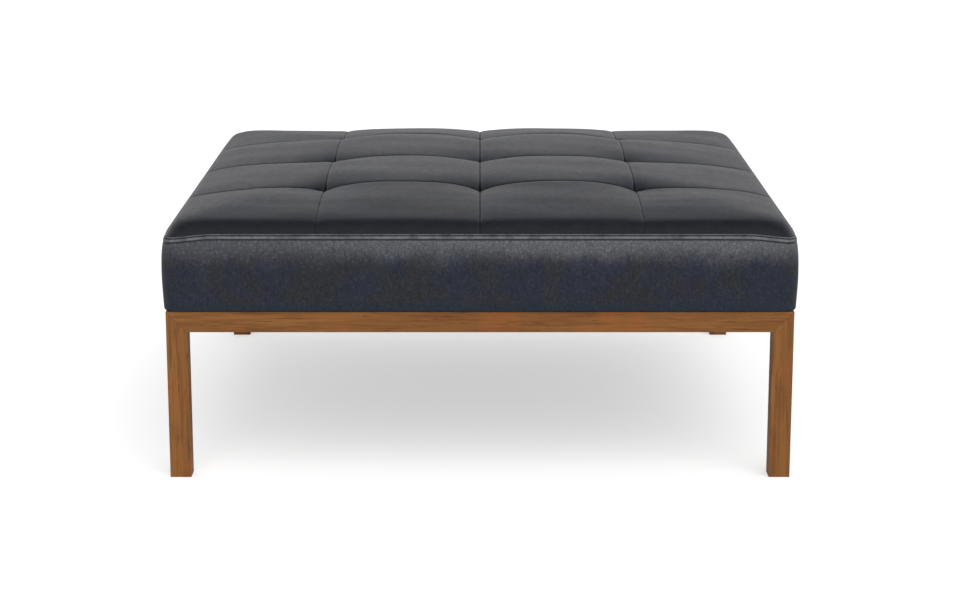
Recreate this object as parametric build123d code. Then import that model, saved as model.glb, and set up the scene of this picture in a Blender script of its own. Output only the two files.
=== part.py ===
from build123d import *
import math
import os

# Ottoman coffee table: a tufted leather cushion on a mitred square wooden base.
# Millimetres. X is the width, Y the depth and Z up. The front faces -Y, the
# origin is on the floor under the middle of the table.

# Wooden base
TABLE_WIDTH = 950
TABLE_DEPTH = 950
BASE_HEIGHT = 261
STOCK = 32

# Loose tenons in the three mitres of each corner
TENON_LENGTH = 14
TENON_WIDTH = 9
TENON_THICKNESS = 4
TENON_PLAY = 0.15
TENON_NEAR_SHARE = 0.25
TENON_FAR_SHARE = 2 / 3

# Square felt pads let into the feet
PAD_SIDE = 20
PAD_THICKNESS = 3
PAD_PROUD = 0.6
PAD_PLAY = 0.3

# Glue blocks inside the rails
BLOCK_LEG = 60
BLOCK_TIP = 10
BLOCK_HEIGHT = 24

# Bolts that hold the cushion to the base
BOLT_DIAMETER = 6
BOLT_LENGTH = 54
BOLT_HEAD_WIDTH = 10
BOLT_HEAD_HEIGHT = 4
BOLT_PLAY = 0.6
BOLT_INSET = 20
PLATE_SIDE = 20
WASHER_THICKNESS = 1.6
NUT_THICKNESS = 4
THREAD_PLAY = 0.1

# Cushion cover: half width of the welt seam is the base's plus this lap
SEAM_LAP = 2.5
BOXING_HEIGHT = 110.7
COVER_CORNER = 20
LEATHER = 1.4
LAYER_GAP = 0.3
FOOT_BULGE = 1.8
BELLY_BULGE = 3.7
ROLL_RADIUS = 5
ROLL_TURNS = (0, 45)
BOXING_SPANS = 3
FLANGE_WIDTH = 22

# Welt between the top panels and the boxing
WELT_WIDTH = 4.8
WELT_RISE = 2.4
WELT_SHOULDER = 1.2
WELT_FLAT = 2.4
WELT_BAND = 2.8

# Tufts over the welt seam, and the seams and crowns of the top over the tufts
TUFT_PITCH_X = 247
TUFT_PITCH_Y = 247
TUFT_RISE = 34.3
SEAM_HUMP = 16
PANEL_CROWN = 8
EDGE_SEAM_RISE = 4.2
EDGE_SEAM_DROP = 11.8
EDGE_CROWN_RISE = 10.5
EDGE_CROWN_DROP = 6.7
CORNER_CROWN = 3
PANEL_SPANS = 6

# Rolled rim of the top, as shares of its reach inwards and of its height
RIM_REACH = 100
RIM_HEIGHT = 58
RIM_CORNER = 70
RIM_SHARES = (
    (0.035, 0.19),
    (0.11, 0.35),
    (0.23, 0.495),
    (0.45, 0.68),
    (1, 1),
)

# Box frame, deck and stuffing
CORE_INSET = 7.5
CORE_CORNER = 10
FRAME_THICKNESS = 22
FRAME_HEIGHT = 50
FRAME_TENON = (10, 30, 30)
DECK_THICKNESS = 9
FOAM_BEVEL = 30
PAD_UNDER_TUFT = 7.9
TOP_BLOCK_HEIGHT = 25
TOP_BLOCK_MARGIN = 4

# Tuft twine, square braided, and the square pads that its knots pull against
TWINE_DIAMETER = 2.4
TWINE_HOLE = 3.2
TWINE_SIDES = 4
KNOT_DIAMETER = 6
KNOT_HEIGHT = 4
ANCHOR_SIDE = 24
ANCHOR_THICKNESS = 3

# Dust cover under the cushion
DUST_COVER = 0.6
DUST_MARGIN = 0.8

OVERRUN = 20

# Sizes worked out from the ones above
half_width = TABLE_WIDTH / 2
half_depth = TABLE_DEPTH / 2
seam_x = half_width + SEAM_LAP
seam_y = half_depth + SEAM_LAP
core_x = seam_x - CORE_INSET
core_y = seam_y - CORE_INSET
lift = BASE_HEIGHT + LEATHER
frame_top = lift + FRAME_HEIGHT
deck_top = frame_top + DECK_THICKNESS
stuffing = LEATHER + LAYER_GAP
seam_height = BASE_HEIGHT + BOXING_HEIGHT
tuft_height = seam_height + TUFT_RISE
foam_top = tuft_height - stuffing - PAD_UNDER_TUFT
inner_x = half_width - STOCK
inner_y = half_depth - STOCK
bolt_x = inner_x - BOLT_INSET
bolt_y = inner_y - BOLT_INSET
cross_x = TUFT_PITCH_X / 2

os.makedirs("parts", exist_ok=True)


def save(name, *solids):
    shape = solids[0] if len(solids) == 1 else Compound(children=list(solids))
    export_step(shape, f"parts/{name}.step")


def mirrored(solid):
    """The same piece at the front left, front right, back left and back right."""
    front = solid.mirror(Plane.XZ)
    return {
        "front_left": front.mirror(Plane.YZ),
        "front_right": front,
        "back_left": solid.mirror(Plane.YZ),
        "back_right": solid,
    }


def spread(solids):
    """Copies of back right pieces at all four corners, in one list."""
    return [copy for solid in solids for copy in mirrored(solid).values()]


def span(x0, x1, y0, y1, z0, z1):
    corner = Align.MIN
    return Pos(x0, y0, z0) * Box(x1 - x0, y1 - y0, z1 - z0, align=(corner, corner, corner))


def rod(radius, length):
    """An upright cylinder that stands on its origin."""
    return Cylinder(radius, length, align=(Align.CENTER, Align.CENTER, Align.MIN))


# Wooden base


def keep_beyond(solid, normal):
    """Cuts a mitre through the outer top corner and keeps the side of the normal."""
    corner = (half_width, half_depth, BASE_HEIGHT)
    return split(solid, bisect_by=Plane(origin=corner, z_dir=normal), keep=Keep.TOP)


def corner_tenons(grow=0):
    """Loose tenons of the back right corner: leg to each rail, and rail to rail."""
    near = TENON_NEAR_SHARE * STOCK
    far = TENON_FAR_SHARE * STOCK
    places = (
        ((far, near, far), (1, 0, -1), (0, 1, 0)),
        ((near, far, far), (0, 1, -1), (1, 0, 0)),
        ((far, far, near), (1, -1, 0), (0, 0, 1)),
    )
    tenon = Box(TENON_THICKNESS + grow, TENON_WIDTH + grow, TENON_LENGTH + grow)
    found = []
    for (a, b, c), along, thin in places:
        centre = (half_width - a, half_depth - b, BASE_HEIGHT - c)
        found.append(Plane(origin=centre, x_dir=thin, z_dir=along) * tenon)
    return found


def foot_centre(z):
    return Pos(half_width - STOCK / 2, half_depth - STOCK / 2, z)


def block_of(side, height):
    """A square block that stands on its origin."""
    return Box(side, side, height, align=(Align.CENTER, Align.CENTER, Align.MIN))


def leg():
    post = span(inner_x, half_width, inner_y, half_depth, PAD_PROUD, BASE_HEIGHT)
    post = keep_beyond(post, (1, 0, -1))
    post = keep_beyond(post, (0, 1, -1))
    post -= foot_centre(PAD_PROUD) * block_of(PAD_SIDE + PAD_PLAY, PAD_THICKNESS - PAD_PROUD)
    for slot in corner_tenons(TENON_PLAY):
        post -= slot
    return post


def foot_pad():
    return foot_centre(0) * block_of(PAD_SIDE, PAD_THICKNESS)


def both_ends(rail, plane, normals):
    """Cuts the mitres at one end of a rail and mirrors them to the other end."""
    for normal in normals:
        rail = keep_beyond(rail, normal)
    return rail.mirror(plane)


def back_rail():
    rail = span(-half_width, half_width, inner_y, half_depth, BASE_HEIGHT - STOCK, BASE_HEIGHT)
    for _ in range(2):
        rail = both_ends(rail, Plane.YZ, ((-1, 1, 0), (-1, 0, 1)))
    return carve(rail, spread(corner_tenons(TENON_PLAY)))


def right_rail():
    rail = span(inner_x, half_width, -half_depth, half_depth, BASE_HEIGHT - STOCK, BASE_HEIGHT)
    for _ in range(2):
        rail = both_ends(rail, Plane.XZ, ((1, -1, 0), (0, -1, 1)))
    return carve(rail, spread(corner_tenons(TENON_PLAY)))


def carve(solid, cutters):
    """Takes away every cutter whose box meets the solid's box."""
    box = solid.bounding_box()
    for cutter in cutters:
        other = cutter.bounding_box()
        apart = other.min.X > box.max.X or other.max.X < box.min.X
        apart = apart or other.min.Y > box.max.Y or other.max.Y < box.min.Y
        apart = apart or other.min.Z > box.max.Z or other.max.Z < box.min.Z
        if not apart:
            solid -= cutter
    return solid


# Glue blocks and bolts


def corner_prism(x, y, leg_length, tip, z0, height):
    """A corner block with its square corner at x, y and its two tips cut blunt."""
    outline = Polyline(
        (x, y),
        (x - leg_length, y),
        (x - leg_length, y - tip),
        (x - tip, y - leg_length),
        (x, y - leg_length),
        (x, y),
    )
    return Pos(0, 0, z0) * extrude(make_face(outline), height)


def bolt_hole(z0, height):
    return Pos(bolt_x, bolt_y, z0) * rod((BOLT_DIAMETER + BOLT_PLAY) / 2, height)


def base_block():
    foot = BASE_HEIGHT - BLOCK_HEIGHT
    block = corner_prism(inner_x, inner_y, BLOCK_LEG, BLOCK_TIP, foot, BLOCK_HEIGHT)
    return block - bolt_hole(foot, BLOCK_HEIGHT)


def top_block():
    """Corner block of the cushion's box frame, which carries the nut plate."""
    x = core_x - FRAME_THICKNESS
    y = core_y - FRAME_THICKNESS
    leg_length = (x - bolt_x) + (y - bolt_y) + PLATE_SIDE
    block = corner_prism(x, y, leg_length, TOP_BLOCK_MARGIN, lift, TOP_BLOCK_HEIGHT)
    return block - bolt_hole(lift, TOP_BLOCK_HEIGHT)


def nut_plate():
    plate = block_of(PLATE_SIDE, NUT_THICKNESS) - rod(BOLT_DIAMETER / 2 + THREAD_PLAY, NUT_THICKNESS)
    return Pos(bolt_x, bolt_y, lift + TOP_BLOCK_HEIGHT) * plate


def washer():
    plate = block_of(PLATE_SIDE, WASHER_THICKNESS)
    plate -= rod((BOLT_DIAMETER + BOLT_PLAY) / 2, WASHER_THICKNESS)
    return Pos(bolt_x, bolt_y, BASE_HEIGHT - BLOCK_HEIGHT - WASHER_THICKNESS) * plate


def bolt():
    seat = BASE_HEIGHT - BLOCK_HEIGHT - WASHER_THICKNESS
    head = extrude(RegularPolygon(BOLT_HEAD_WIDTH / 2, 6, major_radius=False), BOLT_HEAD_HEIGHT)
    fastener = Pos(0, 0, -BOLT_HEAD_HEIGHT) * head + rod(BOLT_DIAMETER / 2, BOLT_LENGTH)
    return Pos(bolt_x, bolt_y, seat) * fastener


# Box frame and deck


def core_outline(inset=0):
    """Outline of the box frame, deck and foam, with its corners cut across."""
    outline = Rectangle(2 * (core_x - inset), 2 * (core_y - inset))
    return chamfer(outline.vertices(), CORE_CORNER)


def core_prism(z0, z1):
    return Pos(0, 0, z0) * extrude(core_outline(), z1 - z0)


def frame_tenons(grow=0):
    """Loose tenons at the back ends of the right side rail and the right cross rail."""
    thick, deep, long = FRAME_TENON
    tenon = Box(thick + grow, long + grow, deep + grow)
    z = lift + FRAME_HEIGHT / 2
    places = (core_x - FRAME_THICKNESS / 2, cross_x)
    return [Pos(x, core_y - FRAME_THICKNESS, z) * tenon for x in places]


def back_frame_rail():
    strip = span(-core_x, core_x, core_y - FRAME_THICKNESS, core_y, lift, frame_top)
    rail = core_prism(lift, frame_top) & strip
    return carve(rail, spread(frame_tenons(TENON_PLAY)))


def frame_rail_between(x0, x1):
    """A rail that runs from front to back between the two long rails."""
    y = core_y - FRAME_THICKNESS
    return carve(span(x0, x1, -y, y, lift, frame_top), spread(frame_tenons(TENON_PLAY)))


def tuft_places():
    steps = (-1, 0, 1)
    return [(TUFT_PITCH_X * i, TUFT_PITCH_Y * j) for j in steps for i in steps]


def strand(diameter, length):
    """An upright strand of twine, or the hole for one, standing on its origin."""
    return extrude(RegularPolygon(diameter / 2, TWINE_SIDES), length)


def pierce(solid, z0, z1):
    """Drills the holes that the tuft twines run through."""
    return carve(solid, [Pos(x, y, z0) * strand(TWINE_HOLE, z1 - z0) for x, y in tuft_places()])


def deck():
    return pierce(core_prism(frame_top, deck_top), frame_top, deck_top)


# Stuffing


def foam_body():
    """The foam slab with its upper edges bevelled, without its twine holes."""
    shoulder = foam_top - FOAM_BEVEL
    low = Pos(0, 0, shoulder) * core_outline()
    high = Pos(0, 0, foam_top) * core_outline(FOAM_BEVEL)
    return core_prism(deck_top, shoulder) + loft([low.face(), high.face()], ruled=True)


def foam():
    return pierce(foam_body(), deck_top, foam_top)


def panel_pads():
    """The fibre pads that fill the panels, laid over the foam and its bevel."""
    core = foam_body()
    fills = panel_fills(stuffing, seam_height)
    return [pierce(fill - core, foam_top, tuft_height) for fill in fills.values()]


def side_batting():
    """One band of batting round the foam and the box frame, inside the boxing."""
    return sack(stuffing, seam_height) - core_prism(BASE_HEIGHT, foam_top)


# Leather cover


def ring_loft(levels, inset):
    """A ruled stack of rounded rectangles, each level a (bulge, corner, height)."""
    faces = []
    for bulge, corner, z in levels:
        x = seam_x + bulge - inset
        y = seam_y + bulge - inset
        faces.append((Pos(0, 0, z) * RectangleRounded(2 * x, 2 * y, corner - inset)).face())
    return loft(faces, ruled=True)


def sack(inset, top):
    """The body inside the boxing: rolled at the foot, bulged, upright at the seam."""
    foot = BASE_HEIGHT + ROLL_RADIUS
    band = seam_height - WELT_BAND
    roll = ROLL_RADIUS - inset
    levels = []
    for turn in ROLL_TURNS:
        back = roll * (1 - math.sin(math.radians(turn)))
        levels.append((FOOT_BULGE - back, COVER_CORNER - back, foot - roll * math.cos(math.radians(turn))))
    for step in range(BOXING_SPANS + 1):
        place = step / BOXING_SPANS
        bulge = bow(place, FOOT_BULGE, BELLY_BULGE, 0)
        levels.append((bulge, COVER_CORNER, foot + (band - foot) * place))
    levels.append((0, COVER_CORNER, top))
    return ring_loft(levels, inset)


def rim_dome(inset, foot):
    """The body under the rolled rim of the top, from a foot height upwards."""
    band = seam_height + WELT_BAND
    levels = [(0, COVER_CORNER, foot), (0, COVER_CORNER, band)]
    for reach, rise in RIM_SHARES:
        corner = COVER_CORNER + RIM_CORNER * reach
        levels.append((-RIM_REACH * reach, corner, seam_height - inset + RIM_HEIGHT * rise))
    return ring_loft(levels, inset)


def bow(place, start, middle, end):
    """Height of a parabola through its start, middle and end, at a share of the way."""
    rest = 1 - place
    return start * rest * (rest - place) + 4 * middle * place * rest + end * place * (place - rest)


def pillow(x_ends, stations, foot):
    """A padded block lofted through upright sections, each with an arc on top."""
    x0, x1 = x_ends
    xm = (x0 + x1) / 2
    sections = []
    for y, (start, middle, end) in stations:
        crown = ThreePointArc((x0, y, start), (xm, y, middle), (x1, y, end))
        frame = Polyline((x1, y, end), (x1, y, foot), (x0, y, foot), (x0, y, start))
        sections.append(Face(Wire([crown.edge(), *frame.edges()])))
    return loft(sections, ruled=True)


def shares():
    return [step / PANEL_SPANS for step in range(PANEL_SPANS + 1)]


def centre_pillow(inset, foot):
    """Between four tufts: seams hump midway and the panel crowns above them."""
    stations = []
    for share in shares():
        seam = tuft_height - inset + bow(share, 0, SEAM_HUMP, 0)
        crown = tuft_height - inset + bow(share, SEAM_HUMP, SEAM_HUMP + PANEL_CROWN, SEAM_HUMP)
        stations.append((TUFT_PITCH_Y * share, (seam, crown, seam)))
    return pillow((0, TUFT_PITCH_X), stations, foot)


def edge_pillow(pitch_along, pitch_out, seam_out, inset, foot):
    """From two tufts out to the rim, along +Y."""
    reach = seam_out - pitch_out
    stations = []
    for share in shares():
        out = share * (reach + OVERRUN)
        seam = tuft_height - inset + edge_seam(out / reach)
        crown = tuft_height - inset + bow(out / reach, SEAM_HUMP, EDGE_CROWN_RISE, -EDGE_CROWN_DROP)
        stations.append((pitch_out + out, (seam, crown, seam)))
    return pillow((0, pitch_along), stations, foot)


def edge_seam(place):
    """Height over the tufts of a seam that runs out to the rim, at a share of its reach."""
    return bow(place, 0, EDGE_SEAM_RISE, -EDGE_SEAM_DROP)


def corner_pillow(inset, foot):
    """From the corner tuft out to two rims, with the far edges kept level."""
    reach_x = seam_x - TUFT_PITCH_X
    reach_y = seam_y - TUFT_PITCH_Y
    far_x = (reach_x + OVERRUN) / reach_x
    level = tuft_height - inset
    across = edge_seam(far_x / 2)
    far = edge_seam(far_x)
    stations = []
    for share in shares():
        place = share * (reach_y + OVERRUN) / reach_y
        seam = edge_seam(place)
        middle = across + seam - across * seam / far + bow(place, 0, CORNER_CROWN, 0)
        heights = (level + seam, level + middle, level + far)
        stations.append((TUFT_PITCH_Y + place * reach_y, heights))
    return pillow((TUFT_PITCH_X, seam_x + OVERRUN), stations, foot)


def panel_fills(inset, foot):
    """The sixteen padded blocks under the panels, by row and column from the front left."""
    dome = rim_dome(inset, foot)
    deep = foot - OVERRUN
    centre = centre_pillow(inset, foot)
    back = edge_pillow(TUFT_PITCH_X, TUFT_PITCH_Y, seam_y, inset, deep) & dome
    side = edge_pillow(TUFT_PITCH_Y, TUFT_PITCH_X, seam_x, inset, deep).rotate(Axis.Z, -90)
    side = side.mirror(Plane.XZ) & dome
    corner = corner_pillow(inset, deep) & dome
    quarter = {(2, 2): centre, (3, 2): back, (2, 3): side, (3, 3): corner}
    fills = {}
    for (row, column), block in quarter.items():
        copies = mirrored(block)
        fills[row, column] = copies["back_right"]
        fills[row, 3 - column] = copies["back_left"]
        fills[3 - row, column] = copies["front_right"]
        fills[3 - row, 3 - column] = copies["front_left"]
    return fills


def boxing():
    """The side walls of the cover with their flange turned in under the box frame."""
    wall = sack(0, seam_height) - sack(LEATHER, seam_height + OVERRUN)
    opening_x = seam_x - FLANGE_WIDTH
    opening_y = seam_y - FLANGE_WIDTH
    return wall - span(-opening_x, opening_x, -opening_y, opening_y, BASE_HEIGHT, lift)


def boxing_side(wall, half_a, half_b, turn):
    """Cuts one side from the boxing with mitred joins at its corners."""
    near = half_b - FLANGE_WIDTH - OVERRUN
    far = half_b + OVERRUN
    depth = far - near
    wide = half_a + OVERRUN
    outline = Polyline((-wide, far), (wide, far), (wide - depth, near), (depth - wide, near), (-wide, far))
    wedge = Pos(0, 0, BASE_HEIGHT) * extrude(make_face(outline), seam_height - BASE_HEIGHT)
    return wall & wedge.rotate(Axis.Z, turn)


def welt():
    """A half round cord cover that lies against the upright band at the seam."""
    outline = RectangleRounded(2 * seam_x, 2 * seam_y, COVER_CORNER)
    path = (Pos(0, 0, seam_height) * outline).wire()
    half = WELT_WIDTH / 2
    section = Polyline(
        (0, -half), (WELT_SHOULDER, -half), (WELT_RISE, -WELT_FLAT / 2),
        (WELT_RISE, WELT_FLAT / 2), (WELT_SHOULDER, half), (0, half), (0, -half),
    )
    along = path % 0
    plane = Plane(origin=path @ 0, x_dir=along.cross(Vector(0, 0, 1)), z_dir=along)
    return sweep(plane * make_face(section), path)


# Twines and dust cover


def twine():
    """A waxed twine from the knot under its anchor pad up to the leather."""
    low = frame_top - ANCHOR_THICKNESS
    cord = Pos(0, 0, low) * strand(TWINE_DIAMETER, tuft_height - LEATHER - low)
    return cord + Pos(0, 0, low - KNOT_HEIGHT) * strand(KNOT_DIAMETER, KNOT_HEIGHT)


def tuft_anchor():
    pad = block_of(ANCHOR_SIDE, ANCHOR_THICKNESS) - strand(TWINE_HOLE, ANCHOR_THICKNESS)
    return Pos(0, 0, frame_top - ANCHOR_THICKNESS) * pad


def dust_cover():
    x = seam_x - FLANGE_WIDTH - DUST_MARGIN
    y = seam_y - FLANGE_WIDTH - DUST_MARGIN
    sheet = span(-x, x, -y, y, lift - DUST_COVER, lift)
    cut = Pos(bolt_x, bolt_y, lift - DUST_COVER) * block_of(BOLT_DIAMETER + BOLT_PLAY, DUST_COVER)
    for hole in spread([cut]):
        sheet -= hole
    return sheet


# Writing the pieces


def save_base():
    for place, piece in mirrored(leg()).items():
        save(f"leg_{place}", piece)
    for place, piece in mirrored(base_block()).items():
        save(f"base_block_{place}", piece)
    back = back_rail()
    right = right_rail()
    save("rail_back", back)
    save("rail_front", back.mirror(Plane.XZ))
    save("rail_right", right)
    save("rail_left", right.mirror(Plane.YZ))
    save("corner_tenons", *spread(corner_tenons()))
    save("foot_pads", *spread([foot_pad()]))


def save_frame():
    for place, piece in mirrored(top_block()).items():
        save(f"top_block_{place}", piece)
    back = back_frame_rail()
    side = frame_rail_between(core_x - FRAME_THICKNESS, core_x)
    cross = frame_rail_between(cross_x - FRAME_THICKNESS / 2, cross_x + FRAME_THICKNESS / 2)
    save("frame_back", back)
    save("frame_front", back.mirror(Plane.XZ))
    save("frame_right", side)
    save("frame_left", side.mirror(Plane.YZ))
    save("cross_rail_right", cross)
    save("cross_rail_left", cross.mirror(Plane.YZ))
    save("frame_tenons", *spread(frame_tenons()))
    save("deck_board", deck())


def save_fixings():
    save("nut_plates", *spread([nut_plate()]))
    save("washers", *spread([washer()]))
    save("cushion_bolts", *spread([bolt()]))
    save("tuft_twines", *[Pos(x, y, 0) * twine() for x, y in tuft_places()])
    save("tuft_anchors", *[Pos(x, y, 0) * tuft_anchor() for x, y in tuft_places()])
    save("dust_cover", dust_cover())


def save_cushion():
    save("foam_slab", foam())
    save("panel_pads", *panel_pads())
    save("side_batting", side_batting())
    outer = panel_fills(0, seam_height)
    inner = panel_fills(LEATHER, seam_height - OVERRUN)
    names = ("front", "mid_front", "mid_back", "back")
    for row, name in enumerate(names):
        panels = [outer[row, column] - inner[row, column] for column in range(4)]
        save(f"top_panels_{name}", *panels)
    wall = boxing()
    save("boxing_back", boxing_side(wall, seam_x, seam_y, 0))
    save("boxing_left", boxing_side(wall, seam_y, seam_x, 90))
    save("boxing_front", boxing_side(wall, seam_x, seam_y, 180))
    save("boxing_right", boxing_side(wall, seam_y, seam_x, -90))
    save("welt", welt())


save_base()
save_frame()
save_fixings()
save_cushion()
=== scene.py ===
import math

import bmesh
import bpy
import numpy as np
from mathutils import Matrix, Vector


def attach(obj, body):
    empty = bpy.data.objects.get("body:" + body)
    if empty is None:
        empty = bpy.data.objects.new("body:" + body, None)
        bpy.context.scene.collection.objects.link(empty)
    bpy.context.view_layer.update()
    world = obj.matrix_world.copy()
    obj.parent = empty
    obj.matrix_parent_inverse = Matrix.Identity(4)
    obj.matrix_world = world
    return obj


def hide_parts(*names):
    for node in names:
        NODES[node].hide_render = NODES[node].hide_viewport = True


# Ottoman coffee table: a tufted leather cushion on a mitred walnut base. In the frame of
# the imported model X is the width, Y the depth and Z up, and the front faces -Y.

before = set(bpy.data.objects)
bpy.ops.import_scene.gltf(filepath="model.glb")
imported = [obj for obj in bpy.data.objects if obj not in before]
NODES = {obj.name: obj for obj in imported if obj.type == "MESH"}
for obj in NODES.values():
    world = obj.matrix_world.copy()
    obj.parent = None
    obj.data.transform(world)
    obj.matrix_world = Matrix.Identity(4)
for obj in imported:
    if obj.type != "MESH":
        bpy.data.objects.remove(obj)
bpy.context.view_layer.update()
BODY = "root"
MM = 0.001
QUARTER = math.pi / 2

# Base, in metres
HALF = 0.475
STOCK = 0.032
BASE_TOP = 0.261
EASED_EDGE = 0.8 * MM
EASED_POINTS = 4
FOOT_GAP = 0.6 * MM
PAD_POCKET = 20.3 * MM
POCKET_DEPTH = 2.4 * MM

# Cushion, in millimetres. The welt that shows sits a little above the solids' seam.
SEAM_HALF = 477.5
SEAM_Z = 371.7
FOOT_Z = 261.0
WELT_Z = 375.0
COVER_CORNER = 20.0
TUFT_PITCH = 247.0
TUFT_RISE = 35.0
CORNER_DROOP = 5.8
DROOP_REACH = 78.0
DROOP_INSET = 36.0

# Camera fitted to the photograph
CAMERA_PLACE = (0.0, -3.8153, 1.0436)
CAMERA_PITCH = 77.036
CAMERA_LENS = 85.23
SENSOR = 36.0
CLIP_END = 200.0


# Node materials. Scales are per metre, lengths are in metres and colours are linear.

# Top leather
NAVY = (0.0118, 0.0145, 0.0265)
CHARCOAL = (0.0130, 0.0148, 0.0215)
TOP_CLOUDS = (0.019, 0.020, 0.028)
TOP_SMOKE = (0.024, 0.026, 0.031)
TOP_FLECKS = (0.040, 0.042, 0.048)
# Painted shade on the rolled rim
RIM_PAINTED_SHADE_COLOUR = (0.0055, 0.0058, 0.0080)
# Painted shade along the seams and in the tuft creases
SEAM_PAINTED_SHADE_COLOUR = (0.003, 0.003, 0.004)
TOP_GLOSS = 0.59
# Insets from the welt and strength of the rim's painted shade
RIM_BAND = (0.009, 0.030)
RIM_PAINTED_SHADE_SHARE = 0.72
SEAM_CORE = 0.0003

# Half widths of the painted shade along the rows and the columns of seams, at a tuft and away
#  from it. The pairs of distances say where from a tuft it narrows and fades, and LEFT is the
#  share that stays, for a column in the middle and further out.
ROW_TAPER = (0.009, 0.019)
ROW_WIDTHS = (0.0130, 0.0018)
ROW_FADE = (0.018, 0.050)
ROW_LEFT = 0.8
COLUMN_TAPER = (0.004, 0.040)
COLUMN_WIDTHS = (0.0036, 0.0020)
COLUMN_FADE = (0.018, 0.045)
COLUMN_LEFT = (0.88, 0.72)
MIDDLE_COLUMN = (0.05, 0.15)

# Side leather, with a teal band at its foot and a grey band of painted highlight under the
# welt
WALL_GREY = (0.0156, 0.0170, 0.0212)
WALL_NAVY = (0.0130, 0.0168, 0.0290)
WALL_CLOUDS = (0.020, 0.022, 0.035)
FOOT_TEAL = (0.006, 0.017, 0.032)
PAINTED_HIGHLIGHT_GREY = (0.090, 0.093, 0.102)
FLECK_GAIN = (2.1, 2.1, 2.05)
BRUSH_LOSS = (0.45, 0.45, 0.5)
WALL_GLOSS = 0.28
FOOT_BAND = (0.262, 0.280)
# Heights, easing and side shares of the painted highlight under the welt
HIGHLIGHT_BAND = (0.318, 0.368)
HIGHLIGHT_EASING = 1.8
HIGHLIGHT_SIDES = (-0.48, 0.10)
HIGHLIGHT_SHARES = (0.62, 1.1)

# All the leather
GRAIN_SCALE = 620.0

# Wood
WALNUT_PALE = (0.272, 0.112, 0.026)
WALNUT_DARK = (0.150, 0.054, 0.012)
SOFTWOOD = ((0.68, 0.50, 0.31), (0.48, 0.31, 0.16))
WOOD_GLOSS = 0.28
ALONG_GRAIN = 0.05
ALONG_PORES = 0.03
SEED_SHIFT = (1.7, 2.3, 0.9)
REDDENING = (1.12, 0.8, 0.75)
PORE_SHADE = 0.35
JOINT_SHADE = 0.45
JOINT_LINE = (0.00012, 0.0005)
JOINT_STRENGTH = 0.7
PLY = 0.0015

# Cloth, felt and thread
FELT_SCALE = 1400.0
WEAVE_PITCH = 0.0009
LAY_SCALE = 5200.0


def put(socket, value):
    """Links a socket to an input, or writes a plain value on it."""
    if isinstance(value, bpy.types.NodeSocket):
        socket.id_data.links.new(value, socket)
    elif isinstance(value, (tuple, list)) and len(value) == 3 and socket.type == "RGBA":
        socket.default_value = (*value, 1.0)
    else:
        socket.default_value = value


def scaled(values, factor):
    return tuple(value * factor for value in values)


class Nodes:
    """A node tree that is built up from short calls."""

    def __init__(self, tree, space):
        self.tree = tree
        self.tree.nodes.clear()
        self.place = self.node("ShaderNodeTexCoord", {}, space)

    def node(self, kind, inputs, output=0, **settings):
        """Adds a node with its settings and inputs, and gives one of its outputs."""
        made = self.tree.nodes.new(kind)
        for key, value in settings.items():
            setattr(made, key, value)
        for key, value in inputs.items():
            put(made.inputs[key], value)
        return made.outputs[output]

    def calc(self, operation, *values):
        return self.node("ShaderNodeMath", dict(enumerate(values)), operation=operation)

    def ranged(self, value, low, high, start=0.0, end=1.0):
        """Eases from start to end while the value goes from low to high."""
        inputs = {
            "Value": value,
            "From Min": low,
            "From Max": high,
            "To Min": start,
            "To Max": end,
        }
        return self.node("ShaderNodeMapRange", inputs, interpolation_type="SMOOTHSTEP")

    def blended(self, share, first, second):
        """Mixes two numbers."""
        return self.node("ShaderNodeMix", {0: share, 2: first, 3: second}, data_type="FLOAT")

    def mixed(self, share, first, second, mode="MIX"):
        """Mixes two colours."""
        inputs = {0: share, 6: first, 7: second}
        return self.node("ShaderNodeMix", inputs, 2, data_type="RGBA", blend_type=mode)

    def split(self):
        """The X, Y and Z of the place."""
        made = self.tree.nodes.new("ShaderNodeSeparateXYZ")
        put(made.inputs[0], self.place)
        return made.outputs

    def on_ray(self, ray):
        """1 on one kind of light ray and 0 on the others."""
        return self.node("ShaderNodeLightPath", {}, ray)

    def close(self, shader, output="ShaderNodeOutputMaterial"):
        out = self.tree.nodes.new(output)
        put(out.inputs["Surface"], shader)


class Recipe(Nodes):
    """A node material whose patterns lie in the piece's own space."""

    def __init__(self, name):
        self.material = bpy.data.materials.new(name)
        self.material.use_nodes = True
        super().__init__(self.material.node_tree, "Object")

    def stretched(self, scale, shift=(0.0, 0.0, 0.0)):
        inputs = {"Vector": self.place, "Scale": scale, "Location": shift}
        return self.node("ShaderNodeMapping", inputs)

    def noise(self, scale, detail=3.0, rough=0.55, twist=0.0, at=None):
        inputs = {
            "Vector": at or self.place,
            "Scale": scale,
            "Detail": detail,
            "Roughness": rough,
            "Distortion": twist,
        }
        return self.node("ShaderNodeTexNoise", inputs)

    def cells(self, scale):
        return self.node("ShaderNodeTexVoronoi", {"Vector": self.place, "Scale": scale})

    def bump(self, height, distance, strength, under=None):
        """Relief from a pattern, on top of the relief under it."""
        inputs = {"Height": height, "Distance": distance, "Strength": strength}
        if under:
            inputs["Normal"] = under
        return self.node("ShaderNodeBump", inputs)

    def surface(self, **inputs):
        """Closes the material with a principled shader, whose inputs are named by words."""
        shader = self.node(
            "ShaderNodeBsdfPrincipled",
            {key.replace("_", " "): value for key, value in inputs.items()},
        )
        self.close(shader)
        return self.material


def seam_distance(r, value):
    """Distance from the seams that lie at 0 and at one pitch either side."""
    side = r.calc("ABSOLUTE", value)
    next_seam = r.calc("ABSOLUTE", r.calc("SUBTRACT", side, TUFT_PITCH * MM))
    return r.calc("MINIMUM", side, next_seam)


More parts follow.
